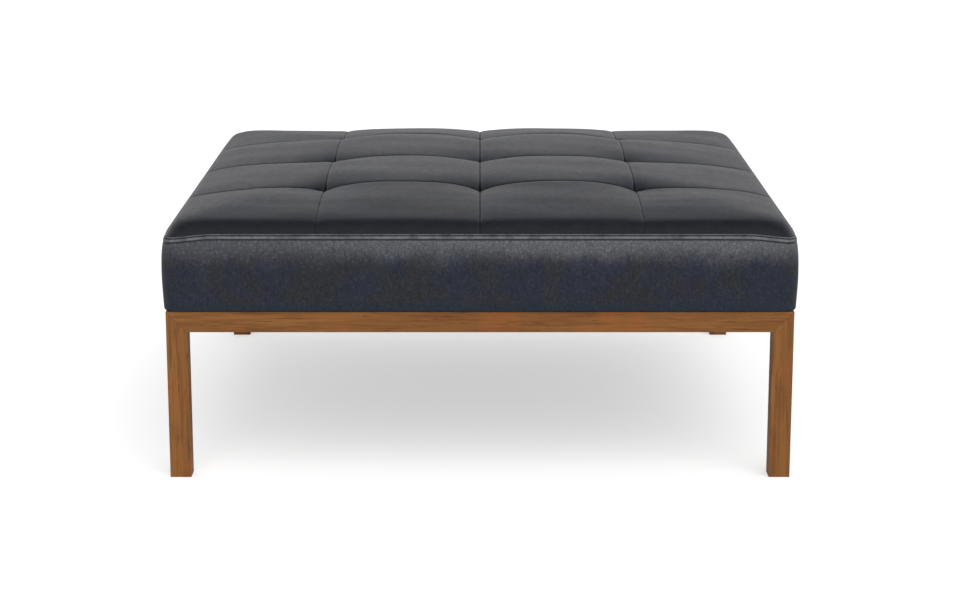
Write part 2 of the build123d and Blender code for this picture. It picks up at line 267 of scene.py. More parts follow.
def painted_seam_shade(r, x, y):
    """Share of painted shade along the seams: wide slits at the tufts and thin lines between
    them.
    """
    from_x, from_y = seam_distance(r, x), seam_distance(r, y)
    from_both = r.node("ShaderNodeCombineXYZ", {"X": from_x, "Y": from_y})
    tuft = r.node("ShaderNodeVectorMath", {0: from_both}, 1, operation="LENGTH")
    row_width = r.ranged(tuft, *ROW_TAPER, *ROW_WIDTHS)
    row = r.ranged(from_y, SEAM_CORE, row_width, 1.0, 0.0)
    row = r.calc("MULTIPLY", row, r.ranged(tuft, *ROW_FADE, 1.0, ROW_LEFT))
    column_width = r.ranged(tuft, *COLUMN_TAPER, *COLUMN_WIDTHS)
    column = r.ranged(from_x, SEAM_CORE, column_width, 1.0, 0.0)
    left = r.ranged(r.calc("ABSOLUTE", x), *MIDDLE_COLUMN, *COLUMN_LEFT)
    column = r.calc("MULTIPLY", column, r.ranged(tuft, *COLUMN_FADE, 1.0, left))
    return r.calc("MAXIMUM", row, column)


def painted_rim_shade(r, x, y, smoky, flecks):
    """Share of painted shade on the rolled rim, by the distance in from the welt."""
    across = r.calc("MAXIMUM", r.calc("ABSOLUTE", x), r.calc("ABSOLUTE", y))
    inset = r.calc("SUBTRACT", SEAM_HALF * MM, across)
    uneven = r.calc("ADD", inset, r.ranged(smoky, 0.3, 0.7, -0.002, 0.002))
    shade = r.ranged(uneven, *RIM_BAND, RIM_PAINTED_SHADE_SHARE, 0.0)
    return r.calc("MULTIPLY", shade, r.ranged(flecks, 0.5, 0.7, 1.0, 0.7))


def painted_highlight_share(r, x, z, clouds, smoky):
    """Share of painted highlight under the welt, which is fainter towards the left."""
    height = r.calc("ADD", z, r.ranged(clouds, 0.3, 0.7, -0.004, 0.004))
    rise = r.calc("POWER", r.ranged(height, *HIGHLIGHT_BAND), HIGHLIGHT_EASING)
    highlight = r.calc("MULTIPLY", rise, r.ranged(smoky, 0.2, 0.6, 0.72, 1.0))
    return r.calc("MULTIPLY", highlight, r.ranged(x, *HIGHLIGHT_SIDES, *HIGHLIGHT_SHARES))


def leather_patterns(r):
    """The soft clouds, smoky streaks and small flecks of the top and the sides."""
    clouds = r.noise(26.0, 5.0, 0.6, 0.4)
    smoky = r.noise(95.0, 5.0, 0.65, 0.3, r.stretched((1.0, 1.0, 0.55)))
    flecks = r.noise(290.0, 3.0, 0.6)
    return clouds, smoky, flecks


def grained(r, relief):
    """Leather grain and creases on top of a coarser relief."""
    creased = r.bump(r.noise(210.0, 4.0, 0.6), 0.0005, 0.3, relief)
    return r.bump(r.cells(GRAIN_SCALE), 0.00022, 0.55, creased)


def top_leather(name):
    """Distressed navy charcoal leather, with painted shade on the rim and along its seams."""
    r = Recipe(name)
    x, y, _ = r.split()
    patches = r.noise(7.0, 3.0)
    clouds, smoky, flecks = leather_patterns(r)
    colour = r.mixed(r.ranged(patches, 0.38, 0.64), CHARCOAL, NAVY)
    colour = r.mixed(r.ranged(clouds, 0.5, 0.68, 0.0, 0.5), colour, TOP_CLOUDS)
    colour = r.mixed(r.ranged(smoky, 0.42, 0.7, 0.0, 0.4), colour, TOP_SMOKE)
    colour = r.mixed(r.ranged(flecks, 0.56, 0.74, 0.0, 0.5), colour, TOP_FLECKS)
    # Painted shade on the rolled rim
    colour = r.mixed(painted_rim_shade(r, x, y, smoky, flecks), colour, RIM_PAINTED_SHADE_COLOUR)
    # Painted shade along the seams and in the tuft creases
    line = painted_seam_shade(r, x, y)
    colour = r.mixed(line, colour, SEAM_PAINTED_SHADE_COLOUR)
    rough = r.calc("MAXIMUM", r.ranged(smoky, 0.35, 0.7, 0.47, 0.54), line)
    relief = grained(r, r.bump(clouds, 0.0004, 0.2))
    return r.surface(
        Base_Color=colour, Roughness=rough, Normal=relief, Specular_IOR_Level=TOP_GLOSS
    )


def wall_leather(name):
    """The same leather on the sides, stained navy and grey, with painted highlight under the
    welt.
    """
    r = Recipe(name)
    x, _, z = r.split()
    stains = r.noise(15.0, 4.0, 0.6, 0.6)
    brushed = r.noise(240.0, 4.0, 0.7, 0.2, r.stretched((1.0, 1.0, 0.45)))
    clouds, smoky, flecks = leather_patterns(r)
    colour = r.mixed(r.ranged(stains, 0.42, 0.58), WALL_GREY, WALL_NAVY)
    colour = r.mixed(r.ranged(clouds, 0.52, 0.68, 0.0, 0.6), colour, WALL_CLOUDS)
    colour = r.mixed(r.ranged(z, *FOOT_BAND, 0.8, 0.0), colour, FOOT_TEAL)
    # Painted highlight: a light grey band under the welt
    colour = r.mixed(painted_highlight_share(r, x, z, clouds, smoky), colour, PAINTED_HIGHLIGHT_GREY)
    colour = r.mixed(r.ranged(flecks, 0.5, 0.66, 0.0, 0.55), colour, FLECK_GAIN, "MULTIPLY")
    colour = r.mixed(r.ranged(brushed, 0.5, 0.36, 0.0, 0.6), colour, BRUSH_LOSS, "MULTIPLY")
    rough = r.ranged(smoky, 0.35, 0.7, 0.52, 0.66)
    relief = r.bump(brushed, 0.0006, 0.4, r.bump(clouds, 0.0008, 0.3))
    return r.surface(
        Base_Color=colour,
        Roughness=rough,
        Normal=grained(r, relief),
        Specular_IOR_Level=WALL_GLOSS,
    )


def welt_leather(name, pale, dark):
    """The welt's leather: a painted highlight on its ridge, or painted shade in its grooves.
    """
    r = Recipe(name)
    rubbed = r.noise(60.0, 4.0, 0.65)
    flecks = r.noise(420.0, 3.0, 0.6)
    colour = r.mixed(r.ranged(rubbed, 0.34, 0.62), dark, pale)
    colour = r.mixed(r.ranged(flecks, 0.52, 0.7, 0.0, 0.5), colour, dark)
    relief = r.bump(r.cells(GRAIN_SCALE), 0.0002, 0.5)
    return r.surface(Base_Color=colour, Roughness=0.55, Normal=relief, Specular_IOR_Level=0.4)


def mitre_shade(r):
    """Share of dark along the mitres, where two distances from the outer corner agree."""
    x, y, z = r.split()
    a = r.calc("SUBTRACT", HALF, r.calc("ABSOLUTE", x))
    b = r.calc("SUBTRACT", HALF, r.calc("ABSOLUTE", y))
    c = r.calc("SUBTRACT", BASE_TOP, z)
    gaps = [r.calc("ABSOLUTE", r.calc("SUBTRACT", p, q)) for p, q in ((a, c), (b, c), (a, b))]
    least = r.calc("MINIMUM", r.calc("MINIMUM", gaps[0], gaps[1]), gaps[2])
    return r.ranged(least, *JOINT_LINE, JOINT_STRENGTH, 0.0)


def wood(name, axis, seed, pale, dark, rough=0.45, joints=False):
    """Straight grained wood: streaks and pores that run along one axis."""
    r = Recipe(name)
    shift = scaled(SEED_SHIFT, seed)
    scale = [1.0, 1.0, 1.0]
    scale[axis] = ALONG_GRAIN
    fine = [1.0, 1.0, 1.0]
    fine[axis] = ALONG_PORES
    grown = r.noise(30.0, 3.0, 0.5, 1.2, r.stretched(scale, shift))
    streaks = r.noise(190.0, 6.0, 0.62, 0.5, r.stretched(scale, shift))
    pores = r.noise(900.0, 2.0, 0.5, 0.0, r.stretched(fine, shift))
    flush = r.noise(14.0, 2.0, 0.5, 0.0, r.stretched((1.0, 1.0, 1.0), shift))
    middle = tuple((p + d) / 2 for p, d in zip(pale, dark))
    red = tuple(p * share for p, share in zip(pale, REDDENING))
    colour = r.mixed(r.ranged(grown, 0.36, 0.64), middle, pale)
    colour = r.mixed(r.ranged(streaks, 0.44, 0.66, 0.0, 0.8), colour, dark)
    colour = r.mixed(r.ranged(flush, 0.52, 0.72, 0.0, 0.5), colour, red)
    pored = r.ranged(pores, 0.62, 0.72, 0.0, 0.75)
    colour = r.mixed(pored, colour, scaled(dark, PORE_SHADE))
    if joints:
        colour = r.mixed(mitre_shade(r), colour, scaled(dark, JOINT_SHADE))
    relief = r.bump(r.calc("SUBTRACT", 1.0, pored), 0.0002, 0.4)
    relief = r.bump(streaks, 0.0003, 0.3, relief)
    return r.surface(
        Base_Color=colour,
        Roughness=r.ranged(streaks, 0.35, 0.7, rough, rough + 0.12),
        Normal=relief,
        Specular_IOR_Level=WOOD_GLOSS,
    )


def plywood(name, pale, dark):
    """Faces with open grain and edges with thin layers."""
    r = Recipe(name)
    _, _, z = r.split()
    grain = r.noise(120.0, 5.0, 0.6, 0.8, r.stretched((0.08, 1.0, 1.0)))
    layer = r.calc("PINGPONG", z, PLY)
    colour = r.mixed(r.ranged(grain, 0.4, 0.65), pale, dark)
    colour = r.mixed(r.ranged(layer, PLY * 0.45, PLY * 0.55, 0.0, 0.35), colour, dark)
    return r.surface(Base_Color=colour, Roughness=0.7, Normal=r.bump(grain, 0.0003, 0.4))


def felt(name, pale, dark):
    """Matted hairs with darker lumps."""
    r = Recipe(name)
    hairs = r.noise(FELT_SCALE, 6.0, 0.7, 2.0)
    lumps = r.noise(FELT_SCALE * 0.12, 3.0)
    colour = r.mixed(r.ranged(hairs, 0.35, 0.68), dark, pale)
    colour = r.mixed(r.ranged(lumps, 0.4, 0.7, 0.0, 0.3), colour, dark)
    relief = r.bump(hairs, 0.0006, 0.7)
    return r.surface(Base_Color=colour, Roughness=0.95, Normal=relief, Sheen_Weight=0.3)


def woven(name, pale, dark):
    """Plain weave of black spun cloth, with threads of one width."""
    r = Recipe(name)
    x, y, _ = r.split()
    across = r.calc("SINE", r.calc("MULTIPLY", x, math.pi / WEAVE_PITCH))
    along = r.calc("SINE", r.calc("MULTIPLY", y, math.pi / WEAVE_PITCH))
    over = r.calc("MULTIPLY", across, along)
    height = r.calc("ADD", r.calc("ABSOLUTE", across), r.calc("ABSOLUTE", along))
    slubs = r.noise(900.0, 3.0)
    colour = r.mixed(r.ranged(over, -0.6, 0.6), dark, pale)
    colour = r.mixed(r.ranged(slubs, 0.55, 0.7, 0.0, 0.5), colour, pale)
    return r.surface(Base_Color=colour, Roughness=0.85, Normal=r.bump(height, 0.0003, 0.6))


def plated(name, tint):
    """Zinc plated steel with faint spangle and rubbed scratches."""
    r = Recipe(name)
    spangle = r.cells(260.0)
    scratches = r.noise(500.0, 3.0, 0.6, 0.0, r.stretched((1.0, 0.06, 1.0)))
    colour = r.mixed(r.ranged(spangle, 0.0, 0.9), tint, scaled(tint, 0.82))
    rough = r.ranged(scratches, 0.35, 0.7, 0.28, 0.45)
    relief = r.bump(scratches, 0.00008, 0.4)
    return r.surface(Base_Color=colour, Roughness=rough, Normal=relief, Metallic=1.0)


def thread(name, tint):
    """Waxed twisted thread."""
    r = Recipe(name)
    x, y, z = r.split()
    slant = r.calc("ADD", z, r.calc("ADD", x, y))
    lay = r.calc("SINE", r.calc("MULTIPLY", slant, LAY_SCALE))
    fuzz = r.noise(1500.0, 3.0)
    colour = r.mixed(r.ranged(lay, -1.0, 1.0), scaled(tint, 0.7), tint)
    colour = r.mixed(r.ranged(fuzz, 0.5, 0.7, 0.0, 0.3), colour, scaled(tint, 0.5))
    return r.surface(Base_Color=colour, Roughness=0.6, Normal=r.bump(lay, 0.0002, 0.5))


TOP_LEATHER = top_leather("top_leather")
WALL_LEATHER = wall_leather("boxing_leather")
# The welt's leather in two copies: a light one as painted highlight on the ridge and lip, and
# a dark one as painted shade in the grooves
WELT_PAINTED_HIGHLIGHT = welt_leather("welt_leather", (0.150, 0.153, 0.164), (0.078, 0.080, 0.088))
WELT_PAINTED_SHADE = welt_leather("welt_painted_shade", (0.016, 0.017, 0.021), (0.006, 0.006, 0.008))
BLOCK_WOOD = wood("block_wood", 0, 5.0, (0.42, 0.27, 0.15), (0.26, 0.15, 0.08), 0.65)
TENON_WOOD = wood("tenon_wood", 2, 6.0, (0.56, 0.42, 0.27), (0.42, 0.29, 0.17), 0.65)
FRAME_WOOD_X = wood("frame_wood_x", 0, 7.0, *SOFTWOOD, 0.7)
FRAME_WOOD_Y = wood("frame_wood_y", 1, 8.0, *SOFTWOOD, 0.7)
PLYWOOD = plywood("deck_plywood", (0.62, 0.46, 0.29), (0.44, 0.30, 0.17))
FELT = felt("felt", (0.085, 0.078, 0.070), (0.035, 0.032, 0.030))
DUST_CLOTH = woven("dust_cloth", (0.034, 0.034, 0.037), (0.012, 0.012, 0.014))
ZINC = plated("zinc_steel", (0.60, 0.61, 0.63))
TWINE = thread("waxed_twine", (0.62, 0.55, 0.42))
DARK_THREAD = thread("dark_thread", (0.016, 0.017, 0.021))


# Mesh helpers


def finished(name, mesh, material, smooth=True):
    """Links a mesh as a piece that rides on the body."""
    mesh.validate()
    mesh.materials.append(material)
    mesh.polygons.foreach_set("use_smooth", [smooth] * len(mesh.polygons))
    made = bpy.data.objects.new(name, mesh)
    bpy.context.scene.collection.objects.link(made)
    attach(made, BODY)
    return made


def piece(name, points, faces, material):
    mesh = bpy.data.meshes.new(name)
    mesh.from_pydata([tuple(p) for p in points], [], [tuple(f) for f in faces])
    return finished(name, mesh, material)


def from_bmesh(name, bm, material, smooth):
    bmesh.ops.recalc_face_normals(bm, faces=bm.faces)
    mesh = bpy.data.meshes.new(name)
    bm.to_mesh(mesh)
    bm.free()
    return finished(name, mesh, material, smooth)


def grid_faces(count):
    """Faces of a square grid of count by count points."""
    faces = []
    for i in range(count - 1):
        for j in range(count - 1):
            k = i * count + j
            faces.append((k, k + 1, k + count + 1, k + count))
    return faces


def grid_rim(count):
    """The outermost points of such a grid, in order round it."""
    first = list(range(count))
    right = [i * count + count - 1 for i in range(1, count)]
    last = [(count - 1) * count + j for j in range(count - 2, -1, -1)]
    left = [i * count for i in range(count - 2, 0, -1)]
    return first + right + last + left


def strand_faces(base, rings, sides):
    """Faces of a closed strand, whose rings of points follow each other from base on."""
    faces = []
    for i in range(rings - 1):
        a = base + i * sides
        for k in range(sides):
            n = (k + 1) % sides
            faces.append((a + k, a + n, a + sides + n, a + sides + k))
    end = base + (rings - 1) * sides
    faces.append(tuple(base + k for k in reversed(range(sides))))
    faces.append(tuple(end + k for k in range(sides)))
    return faces


def smooth_step(low, high, value):
    share = np.clip((value - low) / (high - low), 0.0, 1.0)
    return share * share * (3.0 - 2.0 * share)


def soft_noise(x, y, z, seed, size):
    """Gentle seeded waves of about one size, between about -1 and 1."""
    rng = np.random.default_rng(seed)
    waves = 7
    total = np.zeros(np.broadcast(x, y, z).shape)
    for _ in range(waves):
        direction = rng.normal(size=3)
        direction /= np.linalg.norm(direction)
        pitch = size * rng.uniform(0.7, 1.6)
        phase = rng.uniform(0.0, 2.0 * math.pi)
        run = (x * direction[0] + y * direction[1] + z * direction[2]) * 2.0 * math.pi / pitch
        total = total + np.sin(run + phase)
    return total / (waves / 2)


# Base members

# Smallest steps that the cut and the pocket's straight walls need
CUT_REACH = 1e-7
STRAIGHT_WALL = 1e-6


def member_section():
    """Points of a square section with eased edges, round its middle."""
    inner = STOCK / 2 - EASED_EDGE
    points = []
    for quarter in range(4):
        cx = inner * (1 if quarter in (0, 3) else -1)
        cy = inner * (1 if quarter in (0, 1) else -1)
        for step in range(EASED_POINTS):
            turn = (quarter + step / (EASED_POINTS - 1)) * QUARTER
            points.append((cx + EASED_EDGE * math.cos(turn), cy + EASED_EDGE * math.sin(turn)))
    return points


def bar(axis, start, end, centre):
    """An eased bar between two places on an axis. centre gives its other two places."""
    bm = bmesh.new()
    rings = []
    for place in (start, end):
        ring = []
        for a, b in member_section():
            point = [centre[0] + a, centre[1] + b]
            point.insert(axis, place)
            ring.append(bm.verts.new(point))
        rings.append(ring)
    count = len(rings[0])
    for i in range(count):
        j = (i + 1) % count
        bm.faces.new((rings[0][i], rings[0][j], rings[1][j], rings[1][i]))
    for ring in rings:
        bm.faces.new(ring)
    return bm


def mitred(bm, corner, normal):
    """Cuts a bar through a corner point and closes the cut. The normal's side goes."""
    found = bm.verts[:] + bm.edges[:] + bm.faces[:]
    cut = bmesh.ops.bisect_plane(
        bm,
        geom=found,
        dist=CUT_REACH,
        plane_co=corner,
        plane_no=Vector(normal).normalized(),
        clear_outer=True,
    )
    edges = [e for e in cut["geom_cut"] if isinstance(e, bmesh.types.BMEdge)]
    bmesh.ops.contextual_create(bm, geom=edges)


def leg(name, sx, sy, material):
    """A leg with its three-way mitre at the top and the felt's pocket in its foot."""
    middle = HALF - STOCK / 2
    bm = bar(2, FOOT_GAP, BASE_TOP + STOCK, (sx * middle, sy * middle))
    corner = Vector((sx * HALF, sy * HALF, BASE_TOP))
    mitred(bm, corner, (-sx, 0, 1))
    mitred(bm, corner, (0, -sy, 1))
    bmesh.ops.recalc_face_normals(bm, faces=bm.faces)
    foot = min(bm.faces, key=lambda f: f.calc_center_median().z)
    bmesh.ops.inset_region(bm, faces=[foot], thickness=(STOCK - PAD_POCKET) / 2, depth=0)
    bmesh.ops.inset_region(bm, faces=[foot], thickness=STRAIGHT_WALL, depth=-POCKET_DEPTH)
    made = from_bmesh(f"{name}_timber", bm, material, False)
    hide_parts(name)


def rail(name, axis, side, material):
    """A rail along X or Y on one side, mitred to the legs and to the next rails."""
    z = BASE_TOP - STOCK / 2
    bm = bar(axis, -HALF - STOCK, HALF + STOCK, (side * (HALF - STOCK / 2), z))
    for end in (-1, 1):
        corner = [side * HALF, BASE_TOP]
        corner.insert(axis, end * HALF)
        outward = [-side, 0]
        outward.insert(axis, end)
        downward = [0, -1]
        downward.insert(axis, end)
        mitred(bm, Vector(corner), outward)
        mitred(bm, Vector(corner), downward)
    made = from_bmesh(f"{name}_timber", bm, material, False)
    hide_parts(name)


def walnut(name, axis, seed):
    return wood(f"{name}_wood", axis, seed, WALNUT_PALE, WALNUT_DARK, joints=True)


def make_base():
    for i, (name, sx, sy) in enumerate((
        ("leg_front_left", -1, -1),
        ("leg_front_right", 1, -1),
        ("leg_back_left", -1, 1),
        ("leg_back_right", 1, 1),
    )):
        leg(name, sx, sy, walnut(name, 2, 11.0 + i))
    for i, (name, axis, side) in enumerate((
        ("rail_front", 0, -1),
        ("rail_back", 0, 1),
        ("rail_left", 1, -1),
        ("rail_right", 1, 1),
    )):
        rail(name, axis, side, walnut(name, axis, 21.0 + i))


# Tufted top, worked out in millimetres

# How far the panels and their seams rise over the tufts
SEAM_HUMP = 16.0
PANEL_CROWN = 4.5
EDGE_CROWN = 1.0
CORNER_CROWN = 1.2
CROWN_SPAN = 250.0
HUMP_POWER = 2.6
CROWN_POWER = 3.2
CORNER_POWER = 12

# How much lower the seams lie at the back, and the share of their fading humps that stays
# there, with the depths and the distances past the tufts between which these grow
BACK_SETTLE = 4.5
SETTLE_DEPTHS = (-250.0, 400.0)
SETTLE_OUT = (0.0, 110.0)
CORNER_SETTLE = 0.5
CORNER_OUT = (110.0, 205.0)
BACK_HUMP = 0.26
HUMP_DEPTHS = (-100.0, 300.0)

# Height over the tufts of a seam that runs out to the rim, by the distance past the tuft
SEAM_PLACES = (0, 12, 30, 65, 110, 150, 167, 185, 200, 215, 230.5, 260)
SEAM_HEIGHTS = (0, 1.7, 3.4, 5.0, 4.2, 0.8, -1.5, -4.3, -7.2, -11.2, -16.5, -26.0)

# Share of a seam's hump that is left at a distance past the tuft
FADE_PLACES = (0, 30, 65, 110, 150, 231)
FADE_SHARES = (1, 0.60, 0.30, 0.12, 0.06, 0.04)

# Height over the welt's seam of the rolled rim, by the distance in from it
RIM_PLACES = (0, 0.4, 1.2, 2.6, 4.5, 7.5, 12, 18, 26, 36, 50, 75, 260)
RIM_HEIGHTS = (0, 0.8, 2.3, 4.7, 8.3, 13.4, 19.8, 26.8, 34, 41, 50, 65, 120)
RIM_BLEND = 6.0
RIM_ROUNDING = 0.3
RIM_DEEPEST = 260.0
PLAN_ROUNDING = 70.0
HALVINGS = 26

# Seam valleys as (depth, width) pairs, and what the tufts add to them, up to a margin
# past the outer tufts
SHARP_VALLEY = (1.2, 1.3)
SOFT_VALLEY = (0.5, 6.0)
TUFT_PULL = (1.3, 10.0)
TUFT_DIMPLE = (2.2, 14.0)
TUFT_CROSS = 2.2
CROSS_WIDTH = 2.0
CROSS_LENGTH = 10.0
TUFT_MARGIN = 40.0

# Unevenness of the surface and the puckers along the welt, with the insets between which
# they and the valleys grow
TOP_WAVE = 0.7
TOP_WAVE_SIZE = 120.0
TOP_WAVE_INSETS = (6.0, 60.0)
VALLEY_INSETS = (-3.0, 5.0)
EDGE_WAVE = 0.28
EDGE_WAVE_SIZE = 15.0
EDGE_WAVE_INSETS = (0.0, 1.5)
EDGE_WAVE_REACH = 5.0

# Distances of the grid's lines from a seam, of a few more past the outer seams, and from
# the rim
SEAM_SPACING = (0, 0.7, 1.5, 2.5, 4, 6, 9, 13, 18, 25, 34, 46, 60, 76, 92, 108)
OUTER_SPACING = (124, 140, 156)
RIM_SPACING = (58, 46, 36, 28, 22, 17, 13, 10, 7.5, 5.5, 4, 2.8, 1.8, 1, 0.4, 0)

# Skirt inside the welt, as (drop, shrink) pairs
SKIRT = ((1.5, 0.6), (6.0, 3.0), (6.5, 40.0))


def hump(share):
    """A seam's height between two tufts: 0 at the tufts, 1 midway."""
    return 1.0 - np.abs(2.0 * share - 1.0) ** HUMP_POWER


def crown(share):
    """A panel's swell across its width: steep at the seams, flat in the middle."""
    return 1.0 - np.abs(2.0 * share - 1.0) ** CROWN_POWER


def edge_seam(out):
    """Height over the tufts of a seam that runs out to the rim."""
    return np.interp(out, SEAM_PLACES, SEAM_HEIGHTS)


def pillows(x, y):
    """Height over the tufts of the padded panels at a place, before the rim."""
    least = np.minimum(np.abs(x), np.abs(y))
    most = np.maximum(np.abs(x), np.abs(y))
    share_a = np.clip(least / TUFT_PITCH, 0.0, 1.0)
    share_b = np.clip(most / TUFT_PITCH, 0.0, 1.0)
    out_a = np.maximum(least - TUFT_PITCH, 0.0)
    out_b = np.maximum(most - TUFT_PITCH, 0.0)
    swell_a = crown(np.clip(out_a / CROWN_SPAN, 0.0, 0.5))
    swell_b = crown(np.clip(out_b / CROWN_SPAN, 0.0, 0.5))
    hump_a, hump_b = hump(share_a), hump(share_b)
    centre = SEAM_HUMP * (hump_a + hump_b - hump_a * hump_b)
    centre = centre + PANEL_CROWN * crown(share_a) * crown(share_b)
    fade = np.interp(out_b, FADE_PLACES, FADE_SHARES)
    fade = fade + (1.0 - fade) * BACK_HUMP * smooth_step(*HUMP_DEPTHS, y)
    edge = edge_seam(out_b) + SEAM_HUMP * fade * hump_a
    edge = edge + EDGE_CROWN * crown(share_a) * swell_b
    furthest = (out_a**CORNER_POWER + out_b**CORNER_POWER) ** (1.0 / CORNER_POWER)
    corner = edge_seam(furthest) + CORNER_CROWN * swell_a * swell_b
    return np.where(most <= TUFT_PITCH, centre, np.where(least <= TUFT_PITCH, edge, corner))


def rim_inset(x, y):
    """Distance in from the seam outline, along outlines whose corners grow rounder."""
    low = np.zeros(np.shape(x))
    high = np.full(np.shape(x), RIM_DEEPEST)
    for _ in range(HALVINGS):
        inset = (low + high) / 2
        radius = COVER_CORNER + RIM_ROUNDING * inset
        qx = np.abs(x) - (SEAM_HALF - inset - radius)
        qy = np.abs(y) - (SEAM_HALF - inset - radius)
        away = np.hypot(np.maximum(qx, 0.0), np.maximum(qy, 0.0))
        away = away + np.minimum(np.maximum(qx, qy), 0.0) - radius
        low = np.where(away > 0.0, low, inset)
        high = np.where(away > 0.0, inset, high)
    return (low + high) / 2


def droop(x, y):
    """How far the welt seam hangs lower towards the corners."""
    near_x = 1.0 - smooth_step(0.0, DROOP_REACH, SEAM_HALF - np.abs(x))
    near_y = 1.0 - smooth_step(0.0, DROOP_REACH, SEAM_HALF - np.abs(y))
    return CORNER_DROOP * near_x * near_y


def lesser(first, second, blend):
    """The lesser of two heights, with a round change from one to the other."""
    share = np.maximum(blend - np.abs(first - second), 0.0) / blend
    return np.minimum(first, second) - share * share * blend / 4.0


def top_height(x, y):
    """Height of the leather at a place, before its seams' valleys."""
    inset = rim_inset(x, y)
    wall = np.interp(inset, RIM_PLACES, RIM_HEIGHTS)
    out = np.maximum(np.abs(x), np.abs(y)) - TUFT_PITCH
    least = np.minimum(np.abs(x), np.abs(y)) - TUFT_PITCH
    settled = BACK_SETTLE * smooth_step(*SETTLE_DEPTHS, y) * smooth_step(*SETTLE_OUT, out)
    settled = settled * (1.0 - CORNER_SETTLE * smooth_step(*CORNER_OUT, least))
    hung = droop(x, y) * (1.0 - smooth_step(0.0, DROOP_INSET, inset))
    return SEAM_Z - hung + lesser(wall, TUFT_RISE + pillows(x, y) - settled, RIM_BLEND)


def grid_places():
    """Grid lines from the middle to the rim, closer together at seams and rim."""
    inner = list(SEAM_SPACING) + [TUFT_PITCH / 2]
    inner += [TUFT_PITCH - n for n in reversed(SEAM_SPACING)]
    outer = [TUFT_PITCH + n for n in SEAM_SPACING[1:] + OUTER_SPACING]
    side = inner + outer + [SEAM_HALF - n for n in RIM_SPACING]
    lines = np.array([-s for s in reversed(side[1:])] + side, float)
    halves = (lines[1:] + lines[:-1]) / 2
    return np.sort(np.concatenate((lines, halves)))


def rounded_plan(px, py):
    """Bends the grid's square outline round the cover's corners."""
    dx, dy = SEAM_HALF - np.abs(px), SEAM_HALF - np.abs(py)
    inset, along = np.minimum(dx, dy), np.abs(dx - dy)
    radius = COVER_CORNER * np.clip(1.0 - inset / PLAN_ROUNDING, 0.0, 1.0)
    reach = 2.0 * radius
    arc = radius * QUARTER / 2
    tiny = 1e-9
    travelled = along * (arc + radius) / np.maximum(reach, tiny)
    turn = QUARTER / 2 + np.minimum(travelled / np.maximum(radius, tiny), QUARTER / 2)
    middle = SEAM_HALF - inset - radius
    on_arc = travelled < arc
    near_a = np.where(on_arc, middle + radius * np.cos(turn), middle - (travelled - arc))
    near_b = np.where(on_arc, middle + radius * np.sin(turn), SEAM_HALF - inset)
    bent = along < reach
    ax = np.where(dx <= dy, near_b, near_a)
    ay = np.where(dx <= dy, near_a, near_b)
    x = np.where(bent, ax, np.abs(px)) * np.sign(px)
    y = np.where(bent, ay, np.abs(py)) * np.sign(py)
    return x, y


def faded(depth_and_width, away):
    """A depth that falls off steeply at first."""
    depth, width = depth_and_width
    return depth * np.exp(-away / width)


def bell(depth_and_width, away):
    """A depth with a round bottom."""
    depth, width = depth_and_width
    return depth * np.exp(-((away / width) ** 2))


def from_seam(value):
    """Distance from the seams that lie at 0 and at one pitch either side."""
    side = np.abs(value)
    return np.minimum(side, np.abs(side - TUFT_PITCH))


def seam_dip(x, y):
    """Depth of the seam valleys, deeper at the tufts."""
    from_x, from_y = from_seam(x), from_seam(y)
    apart = np.hypot(from_x, from_y)
    reach = TUFT_PITCH + TUFT_MARGIN
    inside = (np.abs(x) < reach) & (np.abs(y) < reach)
    pull = 1.0 + np.where(inside, faded(TUFT_PULL, apart), 0.0)
    dip = np.zeros(np.shape(x))
    for across in (from_x, from_y):
        dip = np.maximum(dip, (faded(SHARP_VALLEY, across) + bell(SOFT_VALLEY, across)) * pull)
    cross = faded((TUFT_CROSS, CROSS_WIDTH), np.minimum(from_x, from_y))
    cross = cross * bell((1.0, CROSS_LENGTH), np.maximum(from_x, from_y))
    return dip + np.where(inside, cross + bell(TUFT_DIMPLE, apart), 0.0)


def puckers(along, seed, size):
    """Small waves along a sewn edge."""
    return soft_noise(along, along * 0.0, along * 0.0, seed, size)


def top_points():
    """Grid points of the leather, with its unevenness, seam valleys and puckers."""
    places = grid_places()
    px, py = np.meshgrid(places, places)
    x, y = rounded_plan(px, py)
    z = top_height(x, y)
    inset = rim_inset(x, y)
    uneven = soft_noise(x, y, z * 0.0, seed=3, size=TOP_WAVE_SIZE)
    z = z + TOP_WAVE * uneven * smooth_step(*TOP_WAVE_INSETS, inset)
    points = np.stack((x, y, z), axis=-1)
    down = np.gradient(points, axis=0)
    right = np.gradient(points, axis=1)
    normal = np.cross(right, down)
    normal /= np.linalg.norm(normal, axis=-1, keepdims=True)
    dip = seam_dip(x, y) * smooth_step(*VALLEY_INSETS, inset)
    edge_run = np.where(np.abs(px) > np.abs(py), y, x)
    wave = puckers(edge_run, seed=5, size=EDGE_WAVE_SIZE)
    wave = wave * np.exp(-inset / EDGE_WAVE_REACH) * smooth_step(*EDGE_WAVE_INSETS, inset)
    return points - normal * (dip + EDGE_WAVE * wave)[..., None]


def make_top():
    """The top's leather, with a skirt that goes down and in behind the welt."""
    grid = top_points()
    count = len(grid)
    points = (grid * MM).reshape(-1, 3).tolist()
    faces = grid_faces(count)
    rim = grid_rim(count)
    last = rim
    for drop, shrink in SKIRT:
        factor = 1.0 - shrink / SEAM_HALF
        loop = list(range(len(points), len(points) + len(rim)))
        for k in rim:
            x, y, z = points[k]
            points.append((x * factor, y * factor, z - drop * MM))
        for i in range(len(rim)):
            j = (i + 1) % len(rim)
            faces.append((last[j], last[i], loop[i], loop[j]))
        last = loop
    faces.append(tuple(reversed(last)))
    made = piece("tufted_top", points, faces, TOP_LEATHER)
    rows = [f"top_panels_{row}" for row in ("front", "mid_front", "mid_back", "back")]
    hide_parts(*rows, "panel_pads", "foam_slab")


# Rings round the cover's outline, in millimetres

CORNER_STEPS = 10
BOXING_STEP = 9.0
WELT_STEP = 4.5
STITCH_PITCH = 4.2

